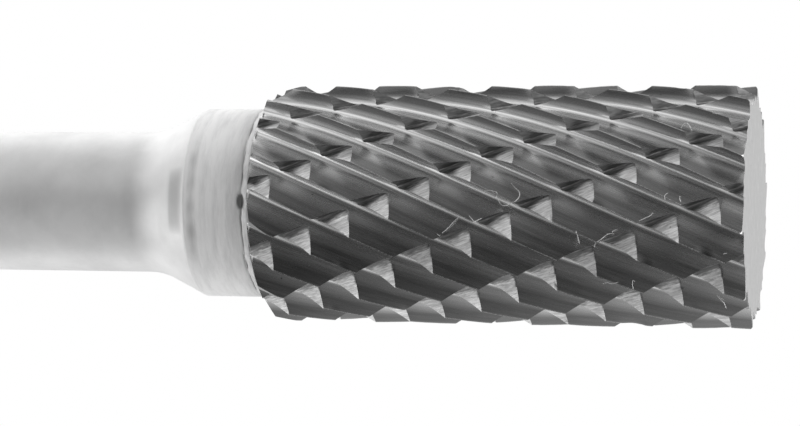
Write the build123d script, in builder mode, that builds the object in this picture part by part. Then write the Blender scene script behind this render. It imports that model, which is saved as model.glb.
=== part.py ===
"""Cylindrical carbide burr: a double-cut carbide head brazed to a plain steel shank.

The tool stands on the flat end of its head.  The origin is the centre of that end face and +Z runs
along the tool's axis to the back end of the shank.  Lengths are in millimetres, angles in degrees.
"""

from build123d import *
import os
from math import cos, pi, radians, sin, tan

# ---------------------------------------------------------------------------------------------
# Driving dimensions
# ---------------------------------------------------------------------------------------------

# Overall
overall_length = 60.0
shank_diameter = 6.0
shank_end_chamfer = 0.5

# Head
head_diameter = 10.0
head_length = 20.35
front_bevel = 0.2            # small bevel on the crests' corners at the end face
back_taper = 0.15            # how far the crests fall away towards the back of the head
back_taper_length = 0.9
back_cone_length = 0.25      # steep cone that ends the teeth at the braze

# Main teeth: right-hand helix, each with a sloping clearance face and an almost radial cutting face
tooth_count = 20
tooth_helix_angle = 25.4
tooth_phase = 5.50           # turn of the first crest at the end face
clearance_angle = 33.0       # between the clearance face and the circle of the crests
rake_angle = 8.0             # how far the cutting face leans back from the radius
root_flat = 0.16             # run of the narrow flat that rounds off each root, along either face

# Chip breakers: left-hand grooves with one shallow wall and one steep wall
breaker_count = 10
breaker_helix_angle = 24.9
breaker_phase = 14.15
breaker_depth = 0.58
shallow_wall_width = 1.22    # measured round the crest circle
steep_wall_width = 0.25
valley_flat = 0.1            # run of the narrow flat along the bottom of each groove
cutter_overrun = 0.6         # how far the groove's section reaches past the crests and the ends

# Steel collar that carries the head
collar_diameter = 8.0
collar_length = 2.55
collar_cone_length = 0.7
collar_cone_diameter = 6.76
flare_length = 1.9           # concave run from the cone down to the shank

# Brazed joint
braze_thickness = 0.15
braze_fillet = 0.3           # how far the braze stands out round the collar
braze_length = 0.5           # how far it runs along the tool, over the collar's bevelled edge

# ---------------------------------------------------------------------------------------------
# Sizes worked out from them
# ---------------------------------------------------------------------------------------------

head_radius = head_diameter / 2
shank_radius = shank_diameter / 2
collar_radius = collar_diameter / 2
braze_radius = collar_radius + braze_fillet

collar_front = head_length + braze_thickness
collar_edge = head_length + braze_length
collar_bevel = braze_length - braze_thickness
cone_start = collar_edge + collar_length
flare_start = cone_start + collar_cone_length
shank_start = flare_start + flare_length


def lead(helix_angle):
    """Length along the axis in which a helix at the crest circle makes one turn."""
    return pi * head_diameter / tan(radians(helix_angle))


def on_circle(radius, angle):
    """Point of the plan at a distance from the axis and an angle in degrees."""
    return (radius * cos(radians(angle)), radius * sin(radians(angle)))


def arc_angle(width):
    """Angle in degrees that a width takes up round the crest circle."""
    return width / head_radius * 180 / pi


def reach_out(inner, through, radius):
    """Point where the line from inner past through comes to a radius."""
    dx, dy = through[0] - inner[0], through[1] - inner[1]
    a = dx * dx + dy * dy
    b = inner[0] * dx + inner[1] * dy
    c = inner[0] ** 2 + inner[1] ** 2 - radius**2
    t = (-b + (b * b - a * c) ** 0.5) / a
    return (inner[0] + t * dx, inner[1] + t * dy)


# ---------------------------------------------------------------------------------------------
# Carbide head
# ---------------------------------------------------------------------------------------------

# The root is where a clearance face meets the next tooth's cutting face: the third corner of a
# triangle on the chord between two crests.
half_pitch = 180 / tooth_count
crest_chord = 2 * head_radius * sin(radians(half_pitch))
angle_at_crest = clearance_angle - half_pitch
angle_at_next = 90 - half_pitch - rake_angle
clearance_length = crest_chord * sin(radians(angle_at_next)) / sin(radians(angle_at_crest + angle_at_next))

with BuildSketch() as tooth_section:
    with BuildLine():
        corners = []
        for tooth in range(tooth_count):
            turn = tooth_phase + tooth * 360 / tooth_count
            crest = on_circle(head_radius, turn)
            run = on_circle(clearance_length, turn + 90 + clearance_angle)
            corners += [crest, (crest[0] + run[0], crest[1] + run[1])]
        Polyline(*corners, close=True)
    make_face()
    chamfer(tooth_section.vertices().group_by(SortBy.DISTANCE)[0], length=root_flat)

# The grooves are notches in a larger disc, so that the twisted disc leaves only what they spare.
disc_radius = head_radius + cutter_overrun
with BuildSketch(Plane.XY.offset(-cutter_overrun)) as breaker_section:
    with BuildLine():
        corners = []
        # The section lies below the end face, where a left-hand groove stands further round.
        turn_at_section = breaker_phase + cutter_overrun / lead(breaker_helix_angle) * 360
        for groove in range(breaker_count):
            turn = turn_at_section + groove * 360 / breaker_count
            shallow_top = on_circle(head_radius, turn)
            valley = on_circle(head_radius - breaker_depth, turn + arc_angle(shallow_wall_width))
            steep_top = on_circle(head_radius, turn + arc_angle(shallow_wall_width + steep_wall_width))
            corners += [
                reach_out(valley, shallow_top, disc_radius),
                valley,
                reach_out(valley, steep_top, disc_radius),
            ]
        Polyline(*corners, close=True)
    make_face()
    valleys = breaker_section.vertices().group_by(lambda corner: Vector(corner.X, corner.Y).length)[0]
    chamfer(valleys, length=valley_flat)

with BuildPart() as twisted_breakers:
    breaker_run = head_length + 2 * cutter_overrun
    with BuildLine() as breaker_axis:
        Line((0, 0, -cutter_overrun), (0, 0, breaker_run - cutter_overrun))
    with BuildLine() as breaker_guide:
        Helix(lead(breaker_helix_angle), breaker_run, 1, center=(0, 0, -cutter_overrun), lefthand=True)
    sweep(breaker_section.sketch, path=breaker_axis.line, binormal=breaker_guide.wire())

with BuildPart() as carbide_head:
    with BuildLine() as head_axis:
        Line((0, 0, 0), (0, 0, head_length))
    with BuildLine() as tooth_guide:
        Helix(lead(tooth_helix_angle), head_length, 1)
    sweep(tooth_section.sketch, path=head_axis.line, binormal=tooth_guide.wire())
    add(twisted_breakers.part, mode=Mode.INTERSECT)
    # The teeth are bevelled at the end face, fall away a little at the back, and end in a steep
    # cone round the braze.
    with BuildSketch(Plane.XZ) as head_outline:
        with BuildLine():
            cone_base = head_length - back_cone_length
            Polyline(
                (0, 0),
                (head_radius - front_bevel, 0),
                (head_radius + cutter_overrun, front_bevel + cutter_overrun),
                (head_radius + cutter_overrun, cone_base - back_taper_length),
                (head_radius, cone_base - back_taper_length),
                (head_radius - back_taper, cone_base),
                (braze_radius, head_length),
                (0, head_length),
                close=True,
            )
        make_face()
    revolve(axis=Axis.Z, mode=Mode.INTERSECT)

carbide_head.part.label = "carbide_head"

# ---------------------------------------------------------------------------------------------
# Brazed joint: a thin layer behind the head, and the fillet that runs out over the collar's edge
# ---------------------------------------------------------------------------------------------

with BuildPart() as braze_joint:
    with BuildSketch(Plane.XZ) as braze_outline:
        with BuildLine():
            Line((0, head_length), (braze_radius, head_length))
            fillet_mid = (collar_radius + braze_fillet / 4, head_length + braze_length / 3)
            ThreePointArc((braze_radius, head_length), fillet_mid, (collar_radius, collar_edge))
            Line((collar_radius, collar_edge), (collar_radius - collar_bevel, collar_front))
            Line((collar_radius - collar_bevel, collar_front), (0, collar_front))
            Line((0, collar_front), (0, head_length))
        make_face()
    revolve(axis=Axis.Z)

braze_joint.part.label = "braze_joint"

# ---------------------------------------------------------------------------------------------
# Steel shank with its collar
# ---------------------------------------------------------------------------------------------

with BuildPart() as steel_shank:
    with BuildSketch(Plane.XZ) as shank_outline:
        with BuildLine():
            cone_radius = collar_cone_diameter / 2
            Polyline(
                (0, overall_length),
                (0, collar_front),
                (collar_radius - collar_bevel, collar_front),
                (collar_radius, collar_edge),
                (collar_radius, cone_start),
                (cone_radius, flare_start),
            )
            TangentArc((shank_radius, shank_start), (cone_radius, flare_start), tangent=(0, -1))
            Line((shank_radius, shank_start), (shank_radius, overall_length))
            Line((shank_radius, overall_length), (0, overall_length))
        make_face()
    revolve(axis=Axis.Z)
    chamfer(steel_shank.edges().group_by(Axis.Z)[-1], length=shank_end_chamfer)

steel_shank.part.label = "steel_shank"

# ---------------------------------------------------------------------------------------------
# Export
# ---------------------------------------------------------------------------------------------

os.makedirs("parts", exist_ok=True)
for piece in (carbide_head, braze_joint, steel_shank):
    export_step(piece.part, f"parts/{piece.part.label}.step")
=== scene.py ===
"""Cylindrical carbide burr on its head: crossing ground teeth, a brazed joint and a turned steel shank.

The script is laid out as an add-on. Every piece has its own operator, the sizes and colours are in
property groups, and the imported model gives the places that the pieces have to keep.
"""

from contextlib import contextmanager
from math import atan2, cos, pi, radians, sin, tan

import bmesh
import bpy
from bpy.props import FloatProperty, FloatVectorProperty, IntProperty, PointerProperty
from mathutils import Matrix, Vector, noise
from mathutils.bvhtree import BVHTree


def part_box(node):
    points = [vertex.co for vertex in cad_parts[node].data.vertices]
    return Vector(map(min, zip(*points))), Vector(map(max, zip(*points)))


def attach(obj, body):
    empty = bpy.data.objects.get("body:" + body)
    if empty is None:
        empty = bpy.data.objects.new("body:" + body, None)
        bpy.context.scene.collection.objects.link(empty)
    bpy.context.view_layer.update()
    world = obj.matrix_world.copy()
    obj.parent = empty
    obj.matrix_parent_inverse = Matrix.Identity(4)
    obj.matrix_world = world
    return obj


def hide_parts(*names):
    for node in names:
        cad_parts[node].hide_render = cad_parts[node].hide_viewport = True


bl_info = {
    "name": "Carbide burr",
    "version": (1, 0, 0),
    "blender": (4, 5, 0),
    "location": "View3D > Sidebar > Burr",
    "description": "Builds a cylindrical carbide burr, its materials and a plain white studio",
    "category": "Object",
}

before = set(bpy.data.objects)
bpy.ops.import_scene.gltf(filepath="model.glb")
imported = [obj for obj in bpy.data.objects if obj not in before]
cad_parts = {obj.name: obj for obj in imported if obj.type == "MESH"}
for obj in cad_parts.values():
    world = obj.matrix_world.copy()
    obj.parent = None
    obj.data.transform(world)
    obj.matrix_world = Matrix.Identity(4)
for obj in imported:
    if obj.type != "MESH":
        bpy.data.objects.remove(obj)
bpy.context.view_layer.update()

MM = 0.001
SENSOR_WIDTH = 36.0
FULL_TURN = 2 * pi

HEAD_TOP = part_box("carbide_head")[1]
BRAZE_LOW, BRAZE_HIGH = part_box("braze_joint")
SHANK_LOW, SHANK_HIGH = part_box("steel_shank")


# ---- Sizes and colours ----


def length_of(name, description, default):
    """A length in metres, as a property."""
    return FloatProperty(
        name=name, description=description, default=default, min=0.0, unit="LENGTH", precision=5,
    )


def angle_of(name, description, degrees):
    """An angle, given in degrees, as a property."""
    return FloatProperty(name=name, description=description, default=radians(degrees), unit="ROTATION")


def count_of(name, description, default, least):
    """A whole number, as a property."""
    return IntProperty(name=name, description=description, default=default, min=least)


def grey_of(name, description, value):
    """A neutral colour, as a property."""
    return FloatVectorProperty(
        name=name, description=description, default=(value, value, value, 1.0), size=4, subtype="COLOR",
        min=0.0, max=1.0,
    )


class BurrHeadSizes(bpy.types.PropertyGroup):
    """Sizes of the carbide head, of the two sets of cuts across it and of the slivers on it"""

    radius: length_of("Head radius", "Radius of the circle of the crests", HEAD_TOP.x)
    length: length_of("Head length", "From the end face to the back of the head", HEAD_TOP.z)
    tooth_count: count_of("Main teeth", "Number of right-hand teeth", 20, 3)
    tooth_helix: angle_of("Main helix angle", "Angle of the main teeth to the axis", 25.4)
    tooth_phase: angle_of("Main phase", "Turn of the first crest at the end face", 5.5)
    clearance: angle_of("Clearance angle", "Between the clearance face and the circle of the crests", 33.0)
    rake: angle_of("Rake angle", "How far the cutting face leans back from the radius", -3.0)
    root_round: length_of("Root rounding", "Run of the rounding along each root", 0.48 * MM)
    root_extra: length_of("Root run-on", "How far the faces run on below the rounding", 0.2 * MM)
    crest_round: length_of("Crest rounding", "Run of the worn rounding along each crest", 0.03 * MM)
    groove_count: count_of("Chip breakers", "Number of left-hand grooves", 10, 1)
    groove_helix: angle_of("Chip breaker helix angle", "Angle of the chip breakers to the axis", 24.9)
    groove_phase: angle_of("Chip breaker phase", "Turn of the first groove at the end face", 14.15)
    groove_depth: length_of("Chip breaker depth", "From the crests to where the walls meet", 0.685 * MM)
    shallow_wall: length_of("Shallow wall", "Width of a groove's shallow wall round the head", 1.33 * MM)
    steep_wall: length_of("Steep wall", "Width of a groove's steep wall round the head", 0.18 * MM)
    groove_round: length_of("Groove rounding", "Run of the rounding along a groove's bottom", 0.14 * MM)
    front_round: length_of("Front rounding", "Rounding of the crests' corners at the end face", 0.16 * MM)
    back_taper: length_of("Back taper", "How far the crests fall away towards the back", 0.15 * MM)
    back_taper_run: length_of("Back taper run", "Length of the taper at the back", 0.9 * MM)
    back_cone: length_of("Back cone", "Length of the cone that ends the teeth", 0.25 * MM)
    steps: count_of("Steps", "Steps of a helical sweep along the head", 160, 8)
    sliver_radius: length_of("Sliver radius", "Thickness of the slivers on the teeth", 0.017 * MM)
    sliver_lift: length_of("Sliver lift", "How far the slivers lie above the teeth", 0.03 * MM)


class BurrNeckSizes(bpy.types.PropertyGroup):
    """Sizes of the brazed joint and of the steel shank"""

    collar_radius: length_of("Collar radius", "Radius of the collar behind the head", SHANK_HIGH.x)
    collar_front: length_of("Collar front", "Height of the collar's front face", SHANK_LOW.z)
    collar_back: length_of("Collar back", "Height at which the collar's cone starts", 23.21 * MM)
    flare_radius: length_of("Flare radius", "Radius where the cone runs into the flare", 3.35 * MM)
    flare_start: length_of("Flare start", "Height at which the concave flare starts", 24.5 * MM)
    shank_start: length_of("Shank start", "Height at which the flare runs into the shank", 25.9 * MM)
    shank_radius: length_of("Shank radius", "Radius of the plain shank", 3.0 * MM)
    shank_end: length_of("Shank end", "Height of the shank's back end", SHANK_HIGH.z)
    end_chamfer: length_of("End chamfer", "Chamfer of the shank's back end", 0.5 * MM)
    seam_width: length_of("Seam width", "Width of the dark line between the braze and the collar", 0.05 * MM)
    seam_depth: length_of("Seam depth", "Depth of that line", 0.018 * MM)
    spigot_step: length_of("Spigot step", "How far the steel steps in under the solder", 0.3 * MM)
    pit_angle: angle_of("Pit angle", "Where the gas pit in the solder is, round the tool", -89.0)
    pit_width: length_of("Pit width", "Size of the pit round the tool", 0.72 * MM)
    pit_height: length_of("Pit height", "Size of the pit along the tool", 0.36 * MM)
    pit_depth: length_of("Pit depth", "Depth of the pit", 0.08 * MM)


class BurrFinishes(bpy.types.PropertyGroup):
    """Greys of the metals"""

    carbide: grey_of("Carbide", "Ground carbide on the teeth", 0.3)
    # Shaded copy of the carbide: painted shade on the cutting faces, the steep walls and the bottoms of the
    # grooves.
    carbide_shaded: grey_of("Dark carbide", "Cutting faces of the teeth, seen against the dark", 0.2)
    # Lit copy of the carbide: painted light on the shallow walls of the chip breakers, which catch the
    # lights.
    carbide_lit: grey_of("Bright carbide", "Freshly ground walls of the chip breakers", 0.7)
    # Worn carbide is also a painted highlight along the crests, standing in for their glint; the slivers take
    # this grey too.
    carbide_edge: grey_of("Worn carbide", "Worn and chipped edges of the teeth", 0.62)
    carbide_end: grey_of("End face", "Flat ground end of the head", 0.47)
    silver: grey_of("Silver solder", "Silver solder in the joint", 0.68)
    steel: grey_of("Shank steel", "Ground steel of the shank", 0.9)
    oxide: grey_of("Oxide", "Dark oxide and flux left in pits and seams", 0.07)


class BurrStage(bpy.types.PropertyGroup):
    """Camera and floor"""

    camera_place: FloatVectorProperty(
        name="Camera place", description="Where the camera stands", size=3, subtype="TRANSLATION",
        default=(0.0, -0.108935, -0.011342), unit="LENGTH", precision=5,
    )
    camera_turn: FloatVectorProperty(
        name="Camera turn", description="How the camera is turned", size=3, subtype="EULER", unit="ROTATION",
        default=(radians(177.761), radians(76.444), radians(87.892)),
    )
    camera_lens: FloatProperty(name="Lens", description="Focal length in millimetres", default=119.7435)
    floor_size: length_of("Floor", "Side of the floor", 1.2)
    floor_gap: length_of("Floor gap", "Gap between the end face and the floor", 0.02 * MM)


# ---- Modelling helpers ----


def deselect_all():
    """Leaves object mode with nothing selected."""
    if bpy.context.object and bpy.context.object.mode == "EDIT":
        bpy.ops.object.mode_set(mode="OBJECT")
    bpy.ops.object.select_all(action="DESELECT")


def select_only(piece):
    """Selects one piece alone and makes it the active one."""
    deselect_all()
    bpy.context.view_layer.objects.active = piece
    piece.select_set(True)


def edit(piece):
    """Opens a piece in edit mode with nothing selected in it."""
    select_only(piece)
    bpy.ops.object.mode_set(mode="EDIT")
    bpy.ops.mesh.select_all(action="DESELECT")


@contextmanager
def open_mesh(piece):
    """A piece's mesh, opened in edit mode and written back at the end."""
    edit(piece)
    mesh = bmesh.from_edit_mesh(piece.data)
    yield mesh
    bmesh.update_edit_mesh(piece.data)
    deselect_all()


def select_corners(piece, wanted):
    """Selects the corners whose place passes the test, in edit mode."""
    bpy.ops.mesh.select_mode(type="VERT")
    mesh = bmesh.from_edit_mesh(piece.data)
    for corner in mesh.verts:
        corner.select = bool(wanted(corner.co))
    mesh.select_flush_mode()
    bmesh.update_edit_mesh(piece.data)


def divide_long_edges(piece, limit, cuts):
    """Divides the edges that are longer than the limit, in edit mode."""
    bpy.ops.mesh.select_mode(type="EDGE")
    mesh = bmesh.from_edit_mesh(piece.data)
    for edge in mesh.edges:
        edge.select = edge.calc_length() > limit
    bmesh.update_edit_mesh(piece.data)
    bpy.ops.mesh.subdivide(number_cuts=cuts)


def apply_modifier(piece, kind, **settings):
    """Adds a modifier to a piece and applies it."""
    select_only(piece)
    modifier = piece.modifiers.new(kind.title(), kind)
    for setting, value in settings.items():
        setattr(modifier, setting, value)
    bpy.ops.object.modifier_apply(modifier=modifier.name)


def smooth(piece, limit):
    """Shades a piece smooth, apart from edges marked sharp or bent by more than the limit in degrees."""
    select_only(piece)
    bpy.ops.object.shade_smooth_by_angle(angle=radians(limit), keep_sharp_edges=True)


def lead(helix_angle, radius):
    """Length along the axis in which a helix at that radius makes one turn."""
    return FULL_TURN * radius / tan(helix_angle)


def turn_between(angle, other):
    """The turn from one angle round the tool to another, at most half a turn either way."""
    return (angle - other + pi) % FULL_TURN - pi


def sweep(outline, start, height, turn, steps):
    """Sweeps a closed outline up the axis from a height, with a turn, into a closed solid."""
    select_only(outline)
    outline.location.z = start
    bpy.ops.object.transform_apply(location=True, rotation=True, scale=True)
    apply_modifier(
        outline, "SCREW", axis="Z", screw_offset=height, angle=turn, steps=steps, render_steps=steps,
        use_smooth_shade=False,
    )
    edit(outline)
    bpy.ops.mesh.select_mode(type="EDGE")
    bpy.ops.mesh.select_non_manifold()
    bpy.ops.mesh.fill_holes(sides=0)
    bpy.ops.mesh.select_all(action="SELECT")
    bpy.ops.mesh.normals_make_consistent(inside=False)
    deselect_all()


def turned(name, profile, sides):
    """Turns (radius, height) points about the axis: a disc, extruded and resized ring by ring."""
    radius, height = profile[0]
    deselect_all()
    start = (0, 0, height)
    bpy.ops.mesh.primitive_circle_add(vertices=sides, radius=radius, fill_type="NGON", location=start)
    piece = bpy.context.object
    piece.name = piece.data.name = name
    bpy.ops.object.transform_apply(location=True, rotation=True, scale=True)
    bpy.ops.object.mode_set(mode="EDIT")
    bpy.ops.mesh.select_all(action="SELECT")
    for new_radius, new_height in profile[1:]:
        bpy.ops.mesh.extrude_region_move(TRANSFORM_OT_translate={"value": (0, 0, new_height - height)})
        scale = new_radius / radius
        bpy.ops.transform.resize(value=(scale, scale, 1), center_override=(0, 0, new_height))
        radius, height = new_radius, new_height
    bpy.ops.mesh.select_all(action="SELECT")
    bpy.ops.mesh.normals_make_consistent(inside=False)
    deselect_all()
    return piece


def finish_piece(piece, node):
    """Makes a piece ride on the tool and stand for its node, whose own mesh is hidden."""
    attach(piece, "root")
    if node:
        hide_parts(node)


# ---- Cutting head ----

OVERRUN = 0.5 * MM                      # how far the swept solids reach past either end of the head
ROUNDING_FLATS, CREST_FLATS = 8, 4      # flats in the rounding of a root or groove, and of a crest
LONG_FACE, FACE_CUTS = 0.4 * MM, 5      # a tooth's faces are wider than this, and are divided
LONG_WALL, WALL_CUTS = 0.8 * MM, 7      # the same for a groove's walls


def tooth_outline(sizes):
    """The head's plan: a ring of crests and roots, both rounded by bevels."""
    half_pitch = pi / sizes.tooth_count
    chord = 2 * sizes.radius * sin(half_pitch)
    at_crest = sizes.clearance - half_pitch
    at_next = pi / 2 - half_pitch - sizes.rake
    face = chord * sin(at_next) / sin(at_crest + at_next)
    root = Vector((sizes.radius - face * sin(sizes.clearance), face * cos(sizes.clearance), 0))

    deselect_all()
    bpy.ops.mesh.primitive_circle_add(vertices=2 * sizes.tooth_count, radius=sizes.radius)
    outline = bpy.context.object
    outline.name = outline.data.name = "cutting_head"
    edit(outline)
    select_corners(outline, lambda co: round(atan2(co.y, co.x) / half_pitch) % 2 == 1)
    shrink = (root.length - sizes.root_extra) / sizes.radius
    bpy.ops.transform.resize(value=(shrink, shrink, 1), center_override=(0, 0, 0))
    spare = atan2(root.y, root.x) - half_pitch
    bpy.ops.transform.rotate(value=-spare, orient_axis="Z", center_override=(0, 0, 0))
    bpy.ops.mesh.bevel(offset=sizes.root_round, affect="VERTICES", segments=ROUNDING_FLATS)
    select_corners(outline, lambda co: co.length > sizes.radius - 0.001 * MM)
    bpy.ops.mesh.bevel(offset=sizes.crest_round, affect="VERTICES", segments=CREST_FLATS)
    divide_long_edges(outline, LONG_FACE, FACE_CUTS)
    deselect_all()
    return outline


def on_circle(radius, turn):
    """A place at a radius and a turn."""
    return Vector((radius * cos(turn), radius * sin(turn), 0))


def run_out(valley, rim, reach):
    """Where the line from a groove's bottom over its rim meets the circle of that reach."""
    step = rim - valley
    a, b, c = step.length_squared, valley.dot(step), valley.length_squared - reach**2
    return valley + step * ((-b + (b * b - a * c) ** 0.5) / a)


def groove_outline(sizes):
    """The section of what a chip breaker leaves empty: a vee with a rounded bottom."""
    reach = sizes.radius + OVERRUN
    shallow_turn = sizes.shallow_wall / sizes.radius
    valley = on_circle(sizes.radius - sizes.groove_depth, shallow_turn)
    shallow_rim = on_circle(sizes.radius, 0)
    steep_rim = on_circle(sizes.radius, (sizes.shallow_wall + sizes.steep_wall) / sizes.radius)
    places = (run_out(valley, shallow_rim, reach), valley, run_out(valley, steep_rim, reach))

    deselect_all()
    bpy.ops.mesh.primitive_circle_add(vertices=3, radius=sizes.radius)
    outline = bpy.context.object
    for corner, place in zip(outline.data.vertices, places):
        corner.co = place
    edit(outline)
    select_corners(outline, lambda co: co.length < sizes.radius)
    bpy.ops.mesh.bevel(offset=sizes.groove_round, affect="VERTICES", segments=ROUNDING_FLATS)
    divide_long_edges(outline, LONG_WALL, WALL_CUTS)
    bpy.ops.mesh.select_all(action="SELECT")
    bpy.ops.mesh.delete(type="ONLY_FACE")
    deselect_all()
    return outline


def groove_cutters(sizes):
    """The solids that the chip breakers leave empty: one groove, swept and copied round the axis."""
    cutters = groove_outline(sizes)
    start, height = -2 * OVERRUN, sizes.length + 4 * OVERRUN
    full = lead(sizes.groove_helix, sizes.radius)
    cutters.rotation_euler.z = sizes.groove_phase - start / full * FULL_TURN
    sweep(cutters, start, height, -height / full * FULL_TURN, sizes.steps)

    edit(cutters)
    bpy.ops.mesh.select_all(action="SELECT")
    mesh = bmesh.from_edit_mesh(cutters.data)
    steep_start = sizes.groove_phase + (sizes.shallow_wall + 0.2 * sizes.groove_round) / sizes.radius
    for face in mesh.faces:
        middle = face.calc_center_median()
        turn = atan2(middle.y, middle.x) + middle.z / full * FULL_TURN
        face.material_index = int(turn_between(turn, steep_start) > 0)
    bmesh.update_edit_mesh(cutters.data)
    pitch = FULL_TURN / sizes.groove_count
    for _ in range(sizes.groove_count - 1):
        bpy.ops.mesh.duplicate()
        bpy.ops.transform.rotate(value=pitch, orient_axis="Z", center_override=(0, 0, 0))
    deselect_all()
    return cutters


def head_envelope(sizes):
    """The turned outside that rounds the crests at the end face and ends the teeth at the braze."""
    radius, rounding = sizes.radius, sizes.front_round
    clear = radius + 0.1 * MM
    taper_end = sizes.length - sizes.back_cone
    taper_start = taper_end - sizes.back_taper_run
    arc = [
        (radius - rounding + rounding * sin(turn), rounding - rounding * cos(turn))
        for turn in (radians(degrees) for degrees in range(0, 80, 15))
    ]
    profile = [
        *arc,
        (clear, 2.5 * rounding),
        (clear, taper_start - 0.2 * MM),
        (radius, taper_start),
        (radius - sizes.back_taper, taper_end),
        (BRAZE_HIGH.x, sizes.length),
    ]
    return turned("envelope", profile, sides=240)


def wear_crests(head, sizes):
    """Nudges the crests in by a little, unevenly, and chips them in a few places."""
    worn_band, least, ripple_depth, chip_depth = 0.06 * MM, 0.006 * MM, 0.012 * MM, 0.25 * MM
    chip_start = 0.42
    elsewhere = Vector((7, 3, 1))
    with open_mesh(head) as mesh:
        for corner in mesh.verts:
            out = corner.co.xy.length
            if out < sizes.radius - worn_band:
                continue
            ripple = max(0.0, noise.noise(corner.co * 2600.0))
            chip = max(0.0, noise.noise(corner.co * 900.0 + elsewhere) - chip_start)
            depth = least + ripple_depth * ripple + chip_depth * chip
            corner.co.xy *= (out - depth) / out


def mark_cutting_faces(head):
    """Gives the faces that look round the head, away from their own tooth, the second material: the shaded
    copy of the carbide, which paints shade on them.
    """
    least_cosine = 0.8
    with open_mesh(head) as mesh:
        for face in mesh.faces:
            middle = face.calc_center_median()
            round_head = Vector((-middle.y, middle.x, 0)).normalized()
            face.material_index = int(abs(face.normal.dot(round_head)) > least_cosine)


def mark_sharp_edges(head):
    """Merges the seams that the cuts leave and marks the edges where two kinds of surface meet as sharp."""
    gap, least_bend = 0.003 * MM, radians(24)
    edit(head)
    bpy.ops.mesh.select_all(action="SELECT")
    bpy.ops.mesh.remove_doubles(threshold=gap)
    bpy.ops.mesh.select_mode(type="EDGE")
    mesh = bmesh.from_edit_mesh(head.data)
    for edge in mesh.edges:
        kinds = {face.material_index for face in edge.link_faces}
        edge.select = len(kinds) == 2 and edge.calc_face_angle(0.0) > least_bend
    bmesh.update_edit_mesh(head.data)
    bpy.ops.mesh.mark_sharp()
    deselect_all()


class BURR_OT_cutting_head(bpy.types.Operator):
    """Model the carbide head with its teeth, chip breakers and worn edges"""

    bl_idname = "burr.cutting_head"
    bl_label = "Cutting head"

    def execute(self, context):
        sizes = context.scene.burr_head
        head = tooth_outline(sizes)
        full = lead(sizes.tooth_helix, sizes.radius)
        height = sizes.length + 2 * OVERRUN
        head.rotation_euler.z = sizes.tooth_phase - OVERRUN / full * FULL_TURN
        sweep(head, -OVERRUN, height, height / full * FULL_TURN, sizes.steps)
        wear_crests(head, sizes)
        mark_cutting_faces(head)

        cutters = groove_cutters(sizes)
        envelope = head_envelope(sizes)
        # The cutting faces and the steep walls take shaded copies of the carbide and the shallow walls a lit
        # copy: painted shade and painted light.
        for piece, finishes in (
            (head, (flank_finish(), cutting_face_finish())),
            (cutters, (groove_finish(), steep_wall_finish())),
            (envelope, (end_face_finish(),)),
        ):
            for finish in finishes:
                piece.data.materials.append(finish)
        boolean = {"solver": "MANIFOLD", "material_mode": "TRANSFER"}
        apply_modifier(head, "BOOLEAN", operation="DIFFERENCE", object=cutters, **boolean)
        apply_modifier(head, "BOOLEAN", operation="INTERSECT", object=envelope, **boolean)
        for cutter in (cutters, envelope):
            bpy.data.objects.remove(cutter)
        mark_sharp_edges(head)
        smooth(head, limit=48)
        finish_piece(head, "carbide_head")
        return {"FINISHED"}


# ---- Braze joint and shank ----


def seam_height(angle):
    """Height of the wavy line where the solder meets the collar, at an angle round the tool."""
    middle, swing = BRAZE_HIGH.z - 0.14 * MM, 0.07 * MM
    wave = noise.noise(Vector((2.2 * cos(angle), 2.2 * sin(angle), 4.0)))
    wave += 0.4 * noise.noise(Vector((9.0 * cos(angle), 9.0 * sin(angle), 1.0)))
    return middle + swing * wave


def seam_dirt(angle):
    """How much dark flux is left in that line, at an angle round the tool."""
    least, most = 0.05, 0.8
    left = 0.35 + 1.2 * noise.noise(Vector((3.0 * cos(angle), 3.0 * sin(angle), 8.0)))
    # The line is darker towards -X and faint towards +X, the side that the strongest lights shine from.
    far_side = 0.65 - 0.55 * cos(angle)
    return min(most, max(least, left * far_side))


def in_pit(place, neck, turn=0.0, width=1.0, height=1.0):
    """How far inside a pit in the seam a place is: 1 at its middle, 0 at its rim and outside.

    The second pit is given as a turn from the main one, and as shares of its width and height.
    """
    pit_angle = neck.pit_angle + turn
    off = turn_between(atan2(place.y, place.x), pit_angle)
    across = off * place.xy.length / (0.5 * width * neck.pit_width)
    along = (place.z - seam_height(pit_angle)) / (0.5 * height * neck.pit_height)
    return max(0.0, 1.0 - across**2 - along**2)


def pit_sink(pit, neck):
    """How deep the pit is, that far inside it."""
    return neck.pit_depth * min(1.0, 1.4 * pit)


def pit_dirt(pit):
    """How much oxide lies in the pit, that far inside it."""
    return min(0.72, 1.8 * pit)


def braze_profile(neck):
    """The ring's section: a bead over the head's back edge, a sagging fillet and the hole for the spigot."""
    low, high, outside = BRAZE_LOW.z, BRAZE_HIGH.z, BRAZE_HIGH.x
    bead = 0.08 * MM
    profile = [
        (outside - 0.1 * MM, low),
        (outside - 0.02 * MM, low - 0.02 * MM),
        (outside + 1.9 * bead, low - bead),
        (outside + 1.3 * bead, low - 0.5 * bead),
    ]
    rings = 16
    sag = 0.55
    reach = outside - neck.collar_radius
    for step in range(rings + 1):
        along = step / rings
        out = reach * ((1 - along) ** 2 * sag + (1 - along) * (1 - sag))
        profile.append((neck.collar_radius + out, low + (high - low) * along))
    inside = neck.collar_radius - neck.spigot_step
    return [*profile, (inside, high), (inside, neck.collar_front)]


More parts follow.
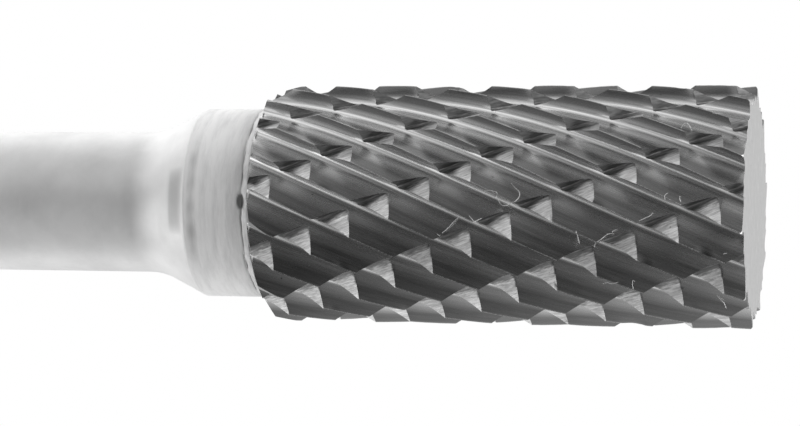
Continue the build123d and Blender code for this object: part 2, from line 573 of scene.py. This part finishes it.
def roughen_braze(ring, neck):
    """Makes the ring's upper edge wavy, gives it lumps and pits, and notes the dirt that lies in them."""
    low, high = BRAZE_LOW.z, BRAZE_HIGH.z
    lump_depth, bead_sink, bead_ripple = 0.045 * MM, 0.05 * MM, 0.12 * MM
    second_pit = {"turn": -radians(41.5), "width": 0.6, "height": 0.5}
    with open_mesh(ring) as mesh:
        dirt_and_shade = mesh.verts.layers.float.new("dirt_and_shade")
        for corner in mesh.verts:
            radius = corner.co.xy.length
            if radius < neck.collar_radius - 0.5 * neck.spigot_step:
                continue
            angle = atan2(corner.co.y, corner.co.x)
            seam = seam_height(angle)
            along = (corner.co.z - low) / (high - low)
            on_bead = along < 0.05
            if not on_bead:
                corner.co.z = low + (seam - low) * along
            pit = max(in_pit(corner.co, neck), 0.6 * in_pit(corner.co, neck, **second_pit))
            near_seam = max(0.0, 1.0 - (seam - corner.co.z) / (1.2 * neck.seam_width))
            lump = noise.noise(corner.co * 1300.0) + 0.5 * noise.noise(corner.co * 4200.0)
            sink = lump_depth * max(-0.5, 0.35 - lump)
            if on_bead:
                sink += bead_sink + bead_ripple * max(0.0, noise.noise(corner.co * 1700.0) + 0.2)
            sink += neck.seam_depth * near_seam + pit_sink(pit, neck)
            corner.co.xy *= (radius - sink) / radius
            corner[dirt_and_shade] = min(1.0, max(near_seam * seam_dirt(angle), pit_dirt(pit)))


class BURR_OT_braze_joint(bpy.types.Operator):
    """Model the lumpy ring of silver solder between the head and the collar"""

    bl_idname = "burr.braze_joint"
    bl_label = "Braze joint"

    def execute(self, context):
        neck = context.scene.burr_neck
        ring = turned("braze_joint", braze_profile(neck), sides=320)
        roughen_braze(ring, neck)
        smooth(ring, limit=50)
        ring.data.materials.append(solder_finish())
        finish_piece(ring, "braze_joint")
        return {"FINISHED"}


def shank_profile(neck):
    """The shank's section: spigot, collar, cone, concave flare, plain shank and end chamfer."""
    collar_rings, cone_rings, flare_rings, plain_rings = 64, 11, 16, 20
    collar, plain = neck.collar_radius, neck.shank_radius
    rounding = 0.05 * MM
    first = BRAZE_HIGH.z - 3.0 * neck.seam_width
    length = neck.collar_back - rounding - first
    profile = [(collar - neck.spigot_step, neck.collar_front)]
    profile += [(collar, first + length * step / collar_rings) for step in range(collar_rings + 1)]

    cone = neck.flare_start - neck.collar_back
    slope = (collar - neck.flare_radius) / cone
    profile += [
        (collar - 0.2 * rounding * slope, neck.collar_back),
        (collar - 1.1 * rounding * slope, neck.collar_back + rounding),
    ]
    for step in range(cone_rings):
        down = (0.14 + 0.08 * step) * cone
        profile.append((collar - down * slope, neck.collar_back + down))

    run, rise = neck.shank_start - neck.flare_start, neck.flare_radius - plain
    bend = (run**2 + rise**2) / (2 * rise)
    for step in range(flare_rings + 1):
        back = run * (1 - step / flare_rings)
        profile.append((plain + bend - (bend**2 - back**2) ** 0.5, neck.shank_start - back))

    length = neck.shank_end - neck.end_chamfer - neck.shank_start
    profile += [(plain, neck.shank_start + length * step / plain_rings) for step in range(1, plain_rings + 1)]
    profile += [
        (plain - 0.4 * neck.end_chamfer, neck.shank_end - 0.55 * neck.end_chamfer),
        (plain - neck.end_chamfer, neck.shank_end),
    ]
    return profile


def cone_stain(height, angle, neck):
    """How dark the painted reflection on the cone behind the collar is: a dark patch on the side that faces
    the camera, where the cone mirrors the dark part of the room.
    """
    middle, half_length, half_turn = neck.collar_back + 0.45 * MM, 0.37 * MM, radians(22)
    across = turn_between(angle, neck.pit_angle) / half_turn
    along = (height - middle) / half_length
    return 0.4 * max(0.0, 1.0 - across**4) * max(0.0, 1.0 - along**4)


def collar_dark_patch(height, angle, neck):
    """How dark the darker patch near the collar's back edge is, on the side that faces the camera."""
    middle, half_length, half_turn = neck.collar_back - 0.33 * MM, 0.25 * MM, radians(45)
    across = turn_between(angle, neck.pit_angle - radians(5)) / half_turn
    along = (middle - height) / half_length
    patch = max(0.0, 1.0 - across**2) * max(0.0, 1.0 - along**2)
    return patch * (0.3 + 0.5 * noise.noise(Vector((angle * 5.0, 0.0, 3.0))))


def wear_collar(shank, neck):
    """Sinks the seam, the pit and the steel under the solder, and notes where dirt lies on the collar, where
    a darker patch lies on its side that faces the camera, and where a painted reflection darkens the cone.
    """
    mark_depth, mark_ripple = 0.004 * MM, 0.006 * MM
    with open_mesh(shank) as mesh:
        dirt_and_shade = mesh.verts.layers.float.new("dirt_and_shade")
        for corner in mesh.verts:
            angle, height = atan2(corner.co.y, corner.co.x), corner.co.z
            if height > neck.flare_start:
                continue
            if height > neck.collar_back:
                # Painted reflection: the cone is darkened on the side that faces the camera, where it mirrors
                # the dark part of the room.
                corner[dirt_and_shade] = cone_stain(height, angle, neck)
                continue
            above = height - seam_height(angle)
            near_seam = max(0.0, 1.0 - abs(above) / neck.seam_width)
            pit = in_pit(corner.co, neck)
            ripple = noise.noise(Vector((corner.co.x * 260.0, corner.co.y * 260.0, height * 4200.0)))
            sink = mark_depth + mark_ripple * ripple + neck.seam_depth * near_seam + pit_sink(pit, neck)
            if above < -neck.seam_width:
                sink = neck.spigot_step
            radius = corner.co.xy.length
            corner.co.xy *= (radius - sink) / radius
            tinted = collar_dark_patch(height, angle, neck)
            corner[dirt_and_shade] = min(1.0, max(tinted, near_seam * seam_dirt(angle), pit_dirt(pit)))


class BURR_OT_steel_shank(bpy.types.Operator):
    """Model the turned shank with its collar, cone, flare and end chamfer"""

    bl_idname = "burr.steel_shank"
    bl_label = "Steel shank"

    def execute(self, context):
        neck = context.scene.burr_neck
        shank = turned("steel_shank", shank_profile(neck), sides=256)
        wear_collar(shank, neck)
        smooth(shank, limit=30)
        shank.data.materials.append(shank_finish())
        finish_piece(shank, "steel_shank")
        return {"FINISHED"}


# ---- Slivers ----

# Fine slivers and threads that cling to the teeth. Each path is how it lies as seen by the camera, in
# pixels of a frame of 800 by 426, and is carried from there on to the head.
FRAME_WIDTH, FRAME_HEIGHT = 800, 426
SLIVER_PATHS = {
    "long_curl": (
        (484, 191), (488, 190), (493, 191), (498, 193), (496, 197), (498, 200), (501, 205), (505, 206),
        (510, 204), (516, 201), (520, 196), (519, 191), (515, 188), (511, 183),
    ),
    "forked_hook": ((469, 216), (472, 219), (474, 222), (478, 220), (482, 218)),
    "loose_thread": ((459, 217), (454, 221), (450, 226), (446, 230), (442, 233)),
    "thread_end": ((437, 234), (440, 236)),
    "upright_pin": ((576, 231), (578, 238), (579, 244)),
    "crest_thread": ((594, 247), (595, 243), (600, 240), (605, 236), (609, 233), (614, 234)),
    "crest_hook": ((612, 232), (615, 229), (618, 230)),
    "flat_thread": ((639, 221), (645, 218), (650, 216), (653, 213)),
    "small_hook": ((665, 200), (664, 197), (665, 194), (668, 193)),
    "small_curl": ((681, 202), (679, 199), (680, 196)),
    "low_curl": ((603, 284), (607, 282), (610, 285), (614, 284), (618, 282)),
    "low_pin": ((633, 290), (632, 284), (633, 279), (635, 282)),
    "end_thread": ((717, 296), (721, 300), (725, 304), (726, 308)),
    "bright_fleck": ((723, 254), (727, 253)),
    "top_loop": ((681, 128), (683, 124), (687, 123), (690, 126), (692, 131)),
    "top_burr": ((712, 111), (716, 114), (719, 113), (723, 114)),
    "dark_rim_tangle": ((741, 243), (744, 240), (747, 242), (744, 246), (750, 241)),
    "dark_rim_grit": ((743, 244), (748, 244)),
}


def laid_on_head(path, surface, stage, sizes):
    """The places of a path's points on the head, just off its surface and inside the crests."""
    eye = Vector(stage.camera_place)
    aim = stage.camera_turn.to_matrix()
    pixel = SENSOR_WIDTH / stage.camera_lens / FRAME_WIDTH
    rays = []
    for across, down in path:
        ray = Vector(((across - FRAME_WIDTH / 2) * pixel, (FRAME_HEIGHT / 2 - down) * pixel, -1))
        rays.append((aim @ ray).normalized())
    reach = [surface.ray_cast(eye, ray)[3] for ray in rays]
    room = 1.5 * sizes.sliver_radius
    places = []
    for step, ray in enumerate(rays):
        nearest = min(reach[max(0, step - 2):step + 3])
        place = eye + ray * (nearest - sizes.sliver_lift)
        place.xy *= min(1.0, (sizes.radius - room) / place.xy.length)
        place.z = max(place.z, room)
        places.append(place)
    return places


def sliver_thread(name, places, radius):
    """One thread along the places, tapering at both ends, as a closed mesh at the origin."""
    deselect_all()
    bpy.ops.curve.primitive_nurbs_path_add()
    thread = bpy.context.object
    thread.name = name
    curve = thread.data
    curve.splines.clear()
    spline = curve.splines.new("NURBS")
    spline.points.add(len(places) - 1)
    for step, (point, place) in enumerate(zip(spline.points, places)):
        point.co = (*place, 1.0)
        point.radius = 0.45 + 0.55 * sin(pi * (step + 0.5) / len(places))
    spline.use_endpoint_u = True
    spline.order_u = min(3, len(places))
    curve.resolution_u = 5
    curve.bevel_depth = radius
    curve.bevel_resolution = 1
    curve.use_fill_caps = True
    bpy.ops.object.convert(target="MESH")
    return bpy.context.object


class BURR_OT_slivers(bpy.types.Operator):
    """Lay fine slivers of metal and lint on the teeth"""

    bl_idname = "burr.slivers"
    bl_label = "Slivers"

    def execute(self, context):
        scene = context.scene
        sizes, stage, finishes = scene.burr_head, scene.burr_stage, scene.burr_finishes
        surface = BVHTree.FromObject(bpy.data.objects["cutting_head"], context.evaluated_depsgraph_get())
        bright = sliver_finish("sliver", finishes.carbide_edge)
        grit = sliver_finish("grit", finishes.oxide)
        threads = []
        for name, path in SLIVER_PATHS.items():
            thread = sliver_thread(name, laid_on_head(path, surface, stage, sizes), sizes.sliver_radius)
            thread.data.materials.append(grit if name.startswith("dark") else bright)
            threads.append(thread)
        deselect_all()
        for thread in threads:
            thread.select_set(True)
        context.view_layer.objects.active = threads[0]
        bpy.ops.object.join()
        slivers = context.object
        slivers.name = slivers.data.name = "grinding_slivers"
        bpy.ops.object.shade_smooth()
        finish_piece(slivers, None)
        return {"FINISHED"}


# ---- Materials ----


class NodeSheet:
    """A short way of writing nodes: each call adds a node and links what it is given."""

    def __init__(self, tree):
        self.tree = tree

    def feed(self, node, inputs):
        """Links a node's inputs to sockets, or sets them to values."""
        for socket, value in inputs.items():
            if isinstance(value, bpy.types.NodeSocket):
                self.tree.links.new(value, node.inputs[socket])
            else:
                node.inputs[socket].default_value = value

    def node(self, kind, inputs=None, **settings):
        made = self.tree.nodes.new(kind)
        for setting, value in settings.items():
            setattr(made, setting, value)
        self.feed(made, inputs or {})
        return made.outputs

    def math(self, operation, first, second=0.0):
        return self.node("ShaderNodeMath", {0: first, 1: second}, operation=operation)[0]

    def times(self, first, second):
        return self.math("MULTIPLY", first, second)

    def vector(self, operation, first, second=(0.0, 0.0, 0.0), result="Vector"):
        return self.node("ShaderNodeVectorMath", {0: first, 1: second}, operation=operation)[result]

    def noise(self, place, scale, detail=4.0, roughness=0.6):
        inputs = {"Vector": place, "Scale": scale, "Detail": detail, "Roughness": roughness}
        return self.node("ShaderNodeTexNoise", inputs)["Fac"]

    def stretch(self, place, scale):
        return self.node("ShaderNodeMapping", {"Vector": place, "Scale": scale})["Vector"]

    def ramp(self, value, low, high, to_low=0.0, to_high=1.0):
        inputs = {"Value": value, "From Min": low, "From Max": high, "To Min": to_low, "To Max": to_high}
        return self.node("ShaderNodeMapRange", inputs)["Result"]

    def mix(self, factor, first, second):
        return self.node("ShaderNodeMix", {0: factor, 6: first, 7: second}, data_type="RGBA")[2]

    def bump(self, relief, distance):
        inputs = {"Height": relief, "Strength": 1.0, "Distance": distance}
        return self.node("ShaderNodeBump", inputs)["Normal"]

    def object_place(self):
        return self.node("ShaderNodeTexCoord")["Object"]

    def height(self, place):
        return self.node("ShaderNodeSeparateXYZ", {0: place})["Z"]

    def dirt_and_shade(self):
        return self.node("ShaderNodeAttribute", attribute_name="dirt_and_shade")["Fac"]

    def group(self, name, build, inputs):
        """A shared node group, built on its first use."""
        tree = bpy.data.node_groups.get(name) or build(name)
        return self.node("ShaderNodeGroup", inputs, node_tree=tree)


def new_group(name, inputs, outputs):
    """A node group with named inputs and float outputs, and a sheet to write it on."""
    tree = bpy.data.node_groups.new(name, "ShaderNodeTree")
    for socket, default in inputs.items():
        kind = "NodeSocketFloat" if isinstance(default, float) else "NodeSocketVector"
        made = tree.interface.new_socket(socket, in_out="INPUT", socket_type=kind)
        made.default_value = default
    for socket in outputs:
        tree.interface.new_socket(socket, in_out="OUTPUT", socket_type="NodeSocketFloat")
    return NodeSheet(tree), tree.nodes.new("NodeGroupInput").outputs, tree.nodes.new("NodeGroupOutput")


def grinding_marks(name):
    """Fine marks that run along a helix of the tool, and the broad clouds that lie over them."""
    inputs = {"Turn per Metre": 0.0, "Scale": 9000.0, "Stretch": 14.0}
    sheet, given, result = new_group(name, inputs, ("Marks", "Scratches", "Clouds", "Radius"))
    place = sheet.object_place()
    turn = sheet.times(sheet.height(place), given["Turn per Metre"])
    straight = sheet.node("ShaderNodeVectorRotate", {"Vector": place, "Angle": turn}, rotation_type="Z_AXIS")
    run = sheet.math("DIVIDE", 1.0, given["Stretch"])
    scale = sheet.node("ShaderNodeCombineXYZ", {0: 1.0, 1: 1.0, 2: run})["Vector"]
    long_place = sheet.vector("MULTIPLY", straight["Vector"], scale)
    scratches = sheet.noise(long_place, sheet.times(given["Scale"], 2.7), 2.0, 0.5)
    across = sheet.vector("MULTIPLY", place, (1.0, 1.0, 0.0))
    sheet.feed(result, {
        "Marks": sheet.noise(long_place, given["Scale"], 5.0, 0.68),
        "Scratches": sheet.ramp(scratches, 0.6, 0.72),
        "Clouds": sheet.noise(long_place, sheet.times(given["Scale"], 0.2)),
        "Radius": sheet.vector("LENGTH", across, result="Value"),
    })
    return sheet.tree


def metal_grain(name):
    """The grain of a sintered or soldered metal, and the few small pits in it."""
    sheet, given, result = new_group(name, {"Scale": 30000.0, "Pit Scale": 2600.0}, ("Grain", "Pits"))
    place = sheet.object_place()
    shake = 0.05 * MM
    ragged_scale = sheet.times(given["Pit Scale"], 3.0)
    ragged = sheet.node("ShaderNodeTexNoise", {"Vector": place, "Scale": ragged_scale})
    moved = sheet.vector("ADD", place, sheet.vector("MULTIPLY", ragged["Color"], (shake, shake, shake)))
    cells = sheet.node("ShaderNodeTexVoronoi", {"Vector": moved, "Scale": given["Pit Scale"]})
    chosen = sheet.ramp(sheet.node("ShaderNodeSeparateColor", {0: cells["Color"]})[0], 0.93, 0.95)
    near = sheet.ramp(cells["Distance"], 0.12, 0.03)
    sheet.feed(result, {
        "Grain": sheet.noise(place, given["Scale"], 3.0),
        "Pits": sheet.times(chosen, near),
    })
    return sheet.tree


def metal(name):
    """A new metallic material: its sheet of nodes and its shader."""
    material = bpy.data.materials.new(name)
    material.use_nodes = True
    shader = material.node_tree.nodes["Principled BSDF"]
    shader.inputs["Metallic"].default_value = 1.0
    return material, NodeSheet(material.node_tree), shader


def scaled(colour, factor):
    """A colour made lighter or darker by a factor."""
    return (*(min(1.0, part * factor) for part in colour[:3]), 1.0)


# Depths below the circle of the crests between which the colour changes: a painted highlight along the roots,
# painted shade along the grooves' bottoms, and the worn crests, painted lighter partly as a painted
# highlight.
ROOT_HIGHLIGHT = (0.34 * MM, 0.6 * MM)
GROOVE_SHADE = (0.53 * MM, 0.61 * MM)
CREST_WEAR_AND_GLINT = (0.06 * MM, 0.035 * MM)


def ground_metal(name, colour, turn_per_metre, scale, stretch, rough, contrast, bump, root_highlight=0.0, stain=0.0):
    """Ground metal whose marks run along a helix: bands of grey, scratches, clouds, grain and pits; where
    asked, also a painted highlight along the roots, worn crests painted lighter and painted shade along the
    grooves' bottoms.
    """
    material, sheet, shader = metal(name)
    crest_radius = bpy.context.scene.burr_head.radius
    finishes = bpy.context.scene.burr_finishes
    run_of_marks = {"Turn per Metre": turn_per_metre, "Scale": scale, "Stretch": stretch}
    marks = sheet.group("grinding_marks", grinding_marks, run_of_marks)
    grain = sheet.group("metal_grain", metal_grain, {"Scale": 30000.0, "Pit Scale": 2600.0})

    def below_crests(radius, depths, to_high=1.0):
        return sheet.ramp(radius, crest_radius - depths[0], crest_radius - depths[1], 0.0, to_high)

    bands = sheet.ramp(marks["Marks"], 0.38, 0.64)
    ground = sheet.mix(bands, scaled(colour, 1 - contrast), scaled(colour, 1 + contrast))
    ground = sheet.mix(sheet.ramp(marks["Clouds"], 0.5, 0.7, 0.0, 2 * contrast), ground, scaled(colour, 0.55))
    ground = sheet.mix(sheet.ramp(marks["Clouds"], 0.46, 0.3, 0.0, 3 * contrast), ground, scaled(colour, 1.8))
    low, high = rough
    roughness = sheet.ramp(marks["Marks"], 0.3, 0.75, low, high)
    roughness = sheet.math("ADD", roughness, sheet.times(marks["Clouds"], high - low))
    # Painted highlight along the roots: the faces deep between the teeth are painted up to three times
    # lighter, where the root fillets catch the light. The same switch turns on the crests' mark below.
    if root_highlight:
        ground = sheet.mix(below_crests(marks["Radius"], ROOT_HIGHLIGHT, root_highlight), ground, scaled(colour, 3.0))
        # Worn and chipped crests, painted lighter and matt; the lighter line also stands in for the glint
        # along the crest edges, so it is partly a painted highlight.
        broken = sheet.ramp(grain["Grain"], 0.3, 0.55, 0.0, 0.7)
        tinted = sheet.times(below_crests(marks["Radius"], CREST_WEAR_AND_GLINT), broken)
        ground = sheet.mix(tinted, ground, tuple(finishes.carbide_edge))
        roughness = sheet.math("MAXIMUM", roughness, sheet.times(tinted, 0.65))
    # Painted shade along the bottom of the grooves: the deepest part of the shallow wall is painted in the
    # shaded copy of the carbide, with a ragged edge.
    if stain:
        streak = sheet.times(sheet.math("SUBTRACT", marks["Marks"], 0.5), 0.3 * MM)
        deep = below_crests(sheet.math("ADD", marks["Radius"], streak), GROOVE_SHADE, stain)
        ground = sheet.mix(deep, ground, tuple(finishes.carbide_shaded))
    relief = sheet.math("ADD", marks["Marks"], sheet.times(grain["Grain"], 0.25))
    relief = sheet.math("SUBTRACT", relief, sheet.times(marks["Scratches"], 0.5))
    relief = sheet.math("SUBTRACT", relief, grain["Pits"])
    sheet.feed(shader, {
        "Base Color": sheet.mix(grain["Pits"], ground, tuple(finishes.oxide)),
        "Roughness": roughness,
        "Normal": sheet.bump(relief, bump),
    })
    return material


def tooth_metal(name, colour):
    """A face of the main teeth: fine marks along the flutes, a painted highlight along the roots and worn
    crests.
    """
    sizes = bpy.context.scene.burr_head
    turn = -FULL_TURN / lead(sizes.tooth_helix, sizes.radius)
    return ground_metal(
        name, colour, turn, scale=9000.0, stretch=16.0, rough=(0.17, 0.27), contrast=0.06, bump=0.0012 * MM,
        root_highlight=0.9,
    )


def flank_finish():
    """Clearance faces of the main teeth."""
    return tooth_metal("ground_flank", bpy.context.scene.burr_finishes.carbide)


def cutting_face_finish():
    """Cutting faces of the main teeth, in the shaded copy of the carbide: painted shade."""
    return tooth_metal("ground_cutting_face", bpy.context.scene.burr_finishes.carbide_shaded)


def groove_metal(name, colour, **settings):
    """A wall of the chip breakers: coarse marks along the grooves."""
    sizes = bpy.context.scene.burr_head
    turn = FULL_TURN / lead(sizes.groove_helix, sizes.radius)
    return ground_metal(name, colour, turn, scale=15000.0, stretch=6.0, rough=(0.2, 0.34), **settings)


def groove_finish():
    """Shallow walls of the chip breakers, in the lit copy of the carbide (painted light), with painted shade
    along the bottom.
    """
    colour = bpy.context.scene.burr_finishes.carbide_lit
    return groove_metal("ground_groove", colour, contrast=0.3, bump=0.0045 * MM, stain=0.7)


def steep_wall_finish():
    """Steep walls of the chip breakers, in a lighter shaded copy of the carbide: painted shade."""
    colour = scaled(bpy.context.scene.burr_finishes.carbide_shaded, 1.5)
    return groove_metal("ground_steep_wall", colour, contrast=0.25, bump=0.004 * MM)


def end_face_finish():
    """The flat end of the head: fine marks and a few smudges."""
    return ground_metal(
        "ground_end", bpy.context.scene.burr_finishes.carbide_end, 0.0, scale=7000.0, stretch=1.0,
        rough=(0.35, 0.5), contrast=0.06, bump=0.001 * MM,
    )


def solder_finish():
    """Silver solder: soft lumps, fine wrinkles and dark flux in the hollows."""
    material, sheet, shader = metal("silver_solder")
    finishes = bpy.context.scene.burr_finishes
    silver, oxide = finishes.silver, finishes.oxide
    place, dirt_and_shade = sheet.object_place(), sheet.dirt_and_shade()
    grain = sheet.group("metal_grain", metal_grain, {"Scale": 16000.0, "Pit Scale": 1900.0})
    lumps = sheet.noise(sheet.stretch(place, (1.0, 1.0, 2.0)), 2200.0)
    colour = sheet.mix(sheet.ramp(lumps, 0.35, 0.65), scaled(silver, 0.86), scaled(silver, 1.08))
    colour = sheet.mix(grain["Pits"], colour, scaled(oxide, 2.0))
    relief = sheet.math("ADD", lumps, sheet.times(grain["Grain"], 0.2))
    sheet.feed(shader, {
        "Base Color": sheet.mix(dirt_and_shade, colour, tuple(oxide)),
        "Roughness": sheet.math("MAXIMUM", sheet.ramp(lumps, 0.3, 0.7, 0.42, 0.6), dirt_and_shade),
        "Normal": sheet.bump(relief, 0.02 * MM),
    })
    return material


def sliver_finish(name, edge):
    """Slivers and grit: an uneven grey."""
    material, sheet, shader = metal(name)
    grain = sheet.group("metal_grain", metal_grain, {"Scale": 9000.0, "Pit Scale": 1500.0})["Grain"]
    sheet.feed(shader, {
        "Base Color": sheet.mix(sheet.ramp(grain, 0.3, 0.7), scaled(edge, 0.8), scaled(edge, 1.4)),
        "Roughness": sheet.ramp(grain, 0.3, 0.7, 0.3, 0.6),
        "Metallic": 0.2,
    })
    return material


def shank_finish():
    """Shank steel: fine grinding marks round the shank, coarse turning marks and spots on the collar."""
    material, sheet, shader = metal("shank_steel")
    neck, finishes = bpy.context.scene.burr_neck, bpy.context.scene.burr_finishes
    steel = finishes.steel
    place, dirt_and_shade = sheet.object_place(), sheet.dirt_and_shade()
    collar = sheet.ramp(sheet.height(place), neck.collar_back + 0.12 * MM, neck.collar_back - 0.03 * MM)
    coarse = sheet.noise(sheet.stretch(place, (1.0, 1.0, 6.0)), 620.0, 4.0, 0.62)
    turning = sheet.times(coarse, collar)
    fine = sheet.noise(sheet.stretch(place, (1.0, 1.0, 22.0)), 900.0)
    grain = sheet.group("metal_grain", metal_grain, {"Scale": 24000.0, "Pit Scale": 2300.0})
    spots = sheet.times(grain["Pits"], collar)
    mottle = sheet.ramp(sheet.noise(place, 420.0), 0.35, 0.7)
    colour = sheet.mix(mottle, scaled(steel, 1.04), scaled(steel, 0.9))
    colour = sheet.mix(collar, colour, scaled(steel, 1.12))
    colour = sheet.mix(sheet.ramp(turning, 0.42, 0.72, 0.0, 0.5), colour, scaled(steel, 0.76))
    colour = sheet.mix(sheet.times(spots, 0.6), colour, scaled(steel, 0.35))
    roughness = sheet.math("ADD", sheet.ramp(fine, 0.3, 0.7, 0.42, 0.54), sheet.times(collar, 0.14))
    relief = sheet.math("SUBTRACT", sheet.math("ADD", sheet.times(fine, 0.12), turning), spots)
    # The dirt-and-shade attribute darkens the steel towards oxide: real flux and oxide at the seam and in the
    # pit, a darker patch on the collar, and a painted reflection on the cone.
    sheet.feed(shader, {
        "Base Color": sheet.mix(dirt_and_shade, colour, tuple(finishes.oxide)),
        "Roughness": sheet.math("MAXIMUM", roughness, dirt_and_shade),
        "Metallic": sheet.math("SUBTRACT", 0.7, sheet.times(collar, 0.47)),
        "Normal": sheet.bump(relief, 0.02 * MM),
    })
    return material


# ---- Stage ----

# Soft lights, each a name, an azimuth (0 is the camera's side, positive is towards the end face),
# an elevation (positive is towards +X), a sharpness and a strength.
SOFT_LIGHTS = (
    ("end_side_high", 86, 26, 12.0, 6.3),
    ("end_side_low", 96, -17, 5.0, 3.3),
    ("back_high", -131, 30, 3.0, 1.65),
    ("back_low", -125, -51, 5.5, 1.0),
    ("front_low", -63, -21, 13.0, 1.5),
    ("front_high", -48, 30, 16.0, 0.8),
)
WHITE = (1.0, 1.0, 1.0, 1.0)


def soft_light(name):
    """Light from a soft round patch of the studio's wall."""
    inputs = {"Direction": (0.0, 0.0, 1.0), "Sharpness": 4.0, "Strength": 1.0}
    sheet, given, result = new_group(name, inputs, ("Light",))
    towards = sheet.vector("NORMALIZE", sheet.node("ShaderNodeTexCoord")["Generated"])
    facing = sheet.vector("DOT_PRODUCT", towards, given["Direction"], result="Value")
    fall = sheet.times(sheet.math("SUBTRACT", facing, 1.0), given["Sharpness"])
    sheet.feed(result, {"Light": sheet.times(sheet.math("EXPONENT", fall), given["Strength"])})
    return sheet.tree


def studio_world():
    """White walls to the eye; soft patches of light to the metal."""
    world = bpy.data.worlds.new("studio")
    world.use_nodes = True
    sheet = NodeSheet(world.node_tree)
    sheet.tree.nodes.clear()
    total = 0.0
    for _, azimuth, elevation, sharpness, strength in SOFT_LIGHTS:
        around, up = radians(azimuth), radians(elevation)
        direction = (sin(up), -cos(up) * cos(around), -cos(up) * sin(around))
        patch = sheet.group(
            "soft_light", soft_light, {"Direction": direction, "Sharpness": sharpness, "Strength": strength}
        )
        total = sheet.math("ADD", total, patch["Light"])
    seen = sheet.node("ShaderNodeLightPath")["Is Camera Ray"]
    background = sheet.node("ShaderNodeBackground", {"Color": sheet.mix(seen, total, WHITE), "Strength": 1.0})
    sheet.node("ShaderNodeOutputWorld", {"Surface": background[0]})
    return world


def floor_finish():
    """Pale floor that can only be seen from above."""
    material = bpy.data.materials.new("pale_floor")
    material.use_nodes = True
    sheet = NodeSheet(material.node_tree)
    sheet.tree.nodes.clear()
    diffuse = sheet.node("ShaderNodeBsdfDiffuse", {"Color": (0.9, 0.9, 0.9, 1)})
    glow = sheet.node("ShaderNodeEmission", {"Color": WHITE, "Strength": 0.5})
    lit = sheet.node("ShaderNodeAddShader", {0: diffuse[0], 1: glow[0]})
    clear = sheet.node("ShaderNodeBsdfTransparent")
    under = sheet.node("ShaderNodeNewGeometry")["Backfacing"]
    shown = sheet.node("ShaderNodeMixShader", {0: under, 1: lit[0], 2: clear[0]})
    sheet.node("ShaderNodeOutputMaterial", {"Surface": shown[0]})
    return material


class BURR_OT_studio(bpy.types.Operator):
    """Set up the floor, the light and the camera"""

    bl_idname = "burr.studio"
    bl_label = "Studio"

    def execute(self, context):
        scene, stage = context.scene, context.scene.burr_stage
        deselect_all()
        bpy.ops.mesh.primitive_plane_add(size=stage.floor_size, location=(0, 0, -stage.floor_gap))
        floor = context.object
        floor.name = floor.data.name = "floor"
        bpy.ops.object.transform_apply(location=True, rotation=True, scale=True)
        floor.data.materials.append(floor_finish())
        floor.visible_glossy = floor.visible_diffuse = floor.visible_shadow = False

        deselect_all()
        bpy.ops.object.camera_add(location=stage.camera_place, rotation=stage.camera_turn)
        camera = context.object
        camera.name = camera.data.name = "camera"
        camera.data.lens = stage.camera_lens
        camera.data.sensor_width = SENSOR_WIDTH
        camera.data.clip_start = 5 * MM
        scene.camera = camera
        scene.world = studio_world()
        scene.view_settings.view_transform = "Standard"
        return {"FINISHED"}


class BURR_PT_burr(bpy.types.Panel):
    """Sidebar panel that lists the pieces and their sizes"""

    bl_idname = "BURR_PT_burr"
    bl_label = "Carbide burr"
    bl_space_type = "VIEW_3D"
    bl_region_type = "UI"
    bl_category = "Burr"

    def draw(self, context):
        column = self.layout.column()
        for step in STEPS:
            column.operator(step.bl_idname)
        for holder in GROUPS:
            group = getattr(context.scene, holder)
            box = self.layout.box()
            for name in group.bl_rna.properties.keys():
                if name not in ("rna_type", "name"):
                    box.prop(group, name)


GROUPS = {
    "burr_head": BurrHeadSizes,
    "burr_neck": BurrNeckSizes,
    "burr_finishes": BurrFinishes,
    "burr_stage": BurrStage,
}
STEPS = (BURR_OT_cutting_head, BURR_OT_braze_joint, BURR_OT_steel_shank, BURR_OT_slivers, BURR_OT_studio)


def register():
    for kind in (*GROUPS.values(), *STEPS, BURR_PT_burr):
        bpy.utils.register_class(kind)
    for name, kind in GROUPS.items():
        setattr(bpy.types.Scene, name, PointerProperty(type=kind))


def unregister():
    for name in GROUPS:
        delattr(bpy.types.Scene, name)
    for kind in (BURR_PT_burr, *reversed(STEPS), *reversed(tuple(GROUPS.values()))):
        bpy.utils.unregister_class(kind)


def main():
    register()
    bpy.ops.burr.cutting_head()
    bpy.ops.burr.braze_joint()
    bpy.ops.burr.steel_shank()
    bpy.ops.burr.slivers()
    bpy.ops.burr.studio()


if __name__ == "__main__":
    main()
